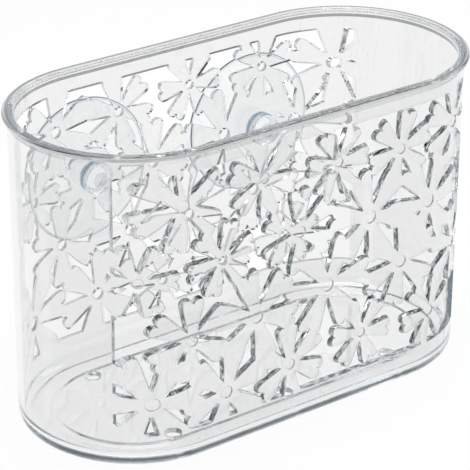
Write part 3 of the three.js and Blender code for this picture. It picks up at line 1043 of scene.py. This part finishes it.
class CADDY_OT_cups(bpy.types.Operator):
    """Build the two soft suction cups"""
    bl_idname = "caddy.cups"
    bl_label = "Suction cups"

    def execute(self, context):
        size = context.scene.caddy_basket
        cup = context.scene.caddy_cups
        finish = context.scene.caddy_finishes
        # Plasticised PVC, moulded soft: glossy and clear, with a slight bloom, ripples 9 mm apart, and a
        # cool tint in depth.
        material = clear_plastic(
            "Clear soft PVC, moulded", tint=finish.cup, shade_tint=finish.cup_edge_shade,
            depth_tint=finish.cup_depth, density=10.0, ior=1.53, rough=0.03, cut_rough=0.1,
            ripple=0.009, ripple_height=0.00003, haze=0.009 / 3,
        )
        seat = size.depth / 2 - (size.height - cup.height) * math.tan(size.draft) + size.middle
        head = cup.head_diameter / 2
        head_under = -(size.wall + cup.seat_gap)
        head_top = head_under - cup.head_height
        dimple = cup.dimple_diameter / 2
        dimple_floor = head_top + cup.dimple_depth
        neck = cup.neck_diameter / 2
        brink = cup.edge_round
        rim = cup.diameter / 2
        lip = cup.lip_thickness / 2
        shoulder = cup.shoulder_diameter / 2
        gap = cup.seat_gap
        cup_floor = cup.reach - cup.cavity
        # Angle at which the dome's outside runs smoothly into the lip's rounding.
        lip_start = -68.5
        lip_edge = arc((rim - lip, cup.reach - lip), lip, lip_start, 90, steps=10)
        dimple_bend = bend((0.0, dimple_floor), (dimple / 2, dimple_floor), (dimple, head_top), steps=6)
        dome = bend((shoulder, gap), ((shoulder + rim) / 2, gap), lip_edge[0][:2], steps=20)
        lip_inside = (rim - cup.lip_width, cup.reach)
        # Each run's first value makes it rougher and tints it toward the cup's dark edge tint, a painted
        # shade; the lip's rounded edge takes it in full.
        runs = (
            (cup.dimple_dull_and_shaded, dimple_bend),
            (0.0, straight((dimple, head_top), (head - cup.head_round, head_top))),
            (0.0, arc((head - cup.head_round, head_top + cup.head_round), cup.head_round, -90, 0)),
            (cup.head_dull_and_shaded, straight((head, head_top + cup.head_round), (head, head_under - brink))),
            (0.0, arc((head - brink, head_under - brink), brink, 0, 90, steps=5)),
            (0.0, straight((head - brink, head_under), (neck + brink, head_under))),
            (0.0, arc((neck + brink, head_under + brink), brink, -90, -180, steps=5, hollow=True)),
            (0.0, straight((neck, head_under + brink), (neck, gap - brink))),
            (0.0, arc((neck + brink, gap - brink), brink, 180, 90, steps=5, hollow=True)),
            (0.0, straight((neck + brink, gap), (shoulder, gap))),
            (0.0, dome),
            (1.0, lip_edge),
            (cup.lip_dull_and_shaded, straight((rim - lip, cup.reach), lip_inside)),
            (0.0, bend(lip_inside, (rim / 2, cup_floor), (0.0, cup_floor), steps=20)),
        )
        turn_count = 96
        turns = [2 * math.pi * k / turn_count for k in range(turn_count)]
        for side, name in ((-1, "left"), (1, "right")):
            skin = Skin()
            axis = Vector((side * cup.place, seat, cup.height))
            ways = [(axis, Vector((math.sin(turn), 0.0, math.cos(turn)))) for turn in turns]
            sweep = Sweep(skin, lambda radius: ways, BEHIND)
            for dull_and_shaded, run in runs:
                sweep.run(run, dull_and_shaded=lambda way: dull_and_shaded)
            piece = skin.piece(f"soft_cup_{name}", material)
            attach(piece, f"{name}_cup")
            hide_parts(f"suction_cup_{name}")
        return {"FINISHED"}


class CADDY_OT_stage(bpy.types.Operator):
    """Set the floor, the studio light and the camera"""
    bl_idname = "caddy.stage"
    bl_label = "Stage"

    def execute(self, context):
        scene = context.scene
        stage = scene.caddy_stage
        finish = scene.caddy_finishes
        scene.view_settings.view_transform = "Standard"
        # Light runs a long way inside a clear sheet, from face to face, before it leaves by an edge.
        scene.cycles.max_bounces = 48
        scene.cycles.glossy_bounces = 48
        scene.cycles.transmission_bounces = 24

        mesh = bpy.data.meshes.new("studio_floor")
        reach = 2.0
        corners = [(-reach, -reach, 0.0), (reach, -reach, 0.0), (reach, reach, 0.0), (-reach, reach, 0.0)]
        mesh.from_pydata(corners, [], [(0, 1, 2, 3)])
        floor = bpy.data.objects.new("studio_floor", mesh)
        clear_of_foot = 0.0002
        floor.location.z = -clear_of_foot
        scene.collection.objects.link(floor)
        # Matt paper, swept from the roll: plain and shadowless but for a soft trace under the object.
        paper = bpy.data.materials.new("Matt paper sweep")
        tree = cleared_tree(paper)
        seen = rays_of(tree, "Is Camera Ray", "Is Glossy Ray", "Is Transmission Ray")
        whiteness = 0.85
        share = add_node(tree, "ShaderNodeMath", {0: seen, 1: whiteness}, operation="MULTIPLY").outputs[0]
        matt = add_node(tree, "ShaderNodeBsdfDiffuse", {"Color": finish.floor}).outputs[0]
        glow = add_node(tree, "ShaderNodeEmission", {"Color": WHITE}).outputs[0]
        mix = add_node(tree, "ShaderNodeMixShader", {0: share, 1: matt, 2: glow}).outputs[0]
        add_node(tree, "ShaderNodeOutputMaterial", {"Surface": mix})
        mesh.materials.append(paper)

        # White round the floor and overhead, with an unlit band between them that is open to the back.
        band_starts, band_ends, back_opens = (0.10, 0.30), (0.80, 0.92), (0.68, 0.48)
        world = bpy.data.worlds.new("Studio")
        scene.world = world
        tree = cleared_tree(world)
        way = add_node(tree, "ShaderNodeTexCoord").outputs["Generated"]
        axes = add_node(tree, "ShaderNodeSeparateXYZ", {0: way}).outputs
        low, high, front = [
            add_node(tree, "ShaderNodeMapRange", {
                "Value": axes[axis], "From Min": start, "From Max": end,
            }, interpolation_type="SMOOTHSTEP").outputs[0]
            for axis, (start, end) in (("Z", band_starts), ("Z", band_ends), ("Y", back_opens))
        ]
        band = add_node(tree, "ShaderNodeMath", {0: low, 1: high}, operation="SUBTRACT").outputs[0]
        unlit = add_node(tree, "ShaderNodeMath", {0: band, 1: front}, operation="MULTIPLY").outputs[0]
        bent = rays_of(tree, "Is Glossy Ray", "Is Transmission Ray")
        plain = add_node(tree, "ShaderNodeBackground", {"Color": WHITE}).outputs[0]
        dark = add_node(tree, "ShaderNodeBackground", {"Color": finish.studio}).outputs[0]
        studio = add_node(tree, "ShaderNodeMixShader", {0: unlit, 1: plain, 2: dark}).outputs[0]
        fill = add_node(tree, "ShaderNodeBackground", {"Color": WHITE, "Strength": 0.6}).outputs[0]
        around = add_node(tree, "ShaderNodeMixShader", {0: bent, 1: fill, 2: studio}).outputs[0]
        camera_way = rays_of(tree, "Is Camera Ray")
        seen = add_node(tree, "ShaderNodeMixShader", {0: camera_way, 1: around, 2: plain}).outputs[0]
        add_node(tree, "ShaderNodeOutputWorld", {"Surface": seen})

        lamp_aim = Vector((0.0, 0.0, 0.06))
        for name, place, breadth, depth, power in (
            ("overhead softbox", (0.0, 0.0, 1.2), 0.9, 0.7, 6.0),
            ("left softbox", (-1.0, -0.5, 0.6), 0.3, 0.9, 3.0),
            ("right softbox", (1.0, -0.3, 0.6), 0.3, 0.9, 2.0),
        ):
            lamp = bpy.data.lights.new(name, "AREA")
            lamp.shape = "RECTANGLE"
            lamp.size = breadth
            lamp.size_y = depth
            lamp.energy = power
            box = bpy.data.objects.new(name, lamp)
            box.location = place
            box.rotation_euler = (lamp_aim - Vector(place)).to_track_quat("-Z", "Y").to_euler()
            scene.collection.objects.link(box)

        camera = bpy.data.objects.new("camera", bpy.data.cameras.new("camera"))
        camera.data.sensor_width = 36.0
        camera.data.lens = stage.lens
        level = math.cos(stage.elevation)
        back = Vector((
            math.sin(stage.azimuth) * level, -math.cos(stage.azimuth) * level, math.sin(stage.elevation),
        ))
        right = Vector((math.cos(stage.azimuth), math.sin(stage.azimuth), 0.0))
        above = back.cross(right)
        tilt = Matrix((right, above, back)).transposed() @ Matrix.Rotation(stage.roll, 3, "Z")
        aim = Vector((stage.aim_across, scene.caddy_basket.middle, stage.aim_height))
        camera.matrix_world = Matrix.Translation(aim + back * stage.distance) @ tilt.to_4x4()
        scene.collection.objects.link(camera)
        scene.camera = camera
        return {"FINISHED"}


class CADDY_PT_sidebar(bpy.types.Panel):
    """Sizes, colours and pieces of the caddy"""
    bl_idname = "CADDY_PT_sidebar"
    bl_label = "Clear bath caddy"
    bl_space_type = "VIEW_3D"
    bl_region_type = "UI"
    bl_category = "Caddy"

    def draw(self, context):
        for operator in (CADDY_OT_stage, CADDY_OT_basket, CADDY_OT_cups):
            self.layout.operator(operator.bl_idname)
        for group, name in GROUPS:
            box = self.layout.box()
            box.label(text=group.__doc__)
            for setting in group.__annotations__:
                box.prop(getattr(context.scene, name), setting)


GROUPS = (
    (BasketSizes, "caddy_basket"),
    (OpenworkSizes, "caddy_openwork"),
    (CupSizes, "caddy_cups"),
    (Finishes, "caddy_finishes"),
    (StageSizes, "caddy_stage"),
)
CLASSES = (CADDY_OT_basket, CADDY_OT_cups, CADDY_OT_stage, CADDY_PT_sidebar)


def register():
    for group, name in GROUPS:
        bpy.utils.register_class(group)
        setattr(bpy.types.Scene, name, PointerProperty(type=group))
    for kind in CLASSES:
        bpy.utils.register_class(kind)


def unregister():
    for kind in reversed(CLASSES):
        bpy.utils.unregister_class(kind)
    for group, name in reversed(GROUPS):
        delattr(bpy.types.Scene, name)
        bpy.utils.unregister_class(group)


def main():
    register()
    bpy.ops.caddy.stage()
    bpy.ops.caddy.basket()
    bpy.ops.caddy.cups()


if __name__ == "__main__":
    main()
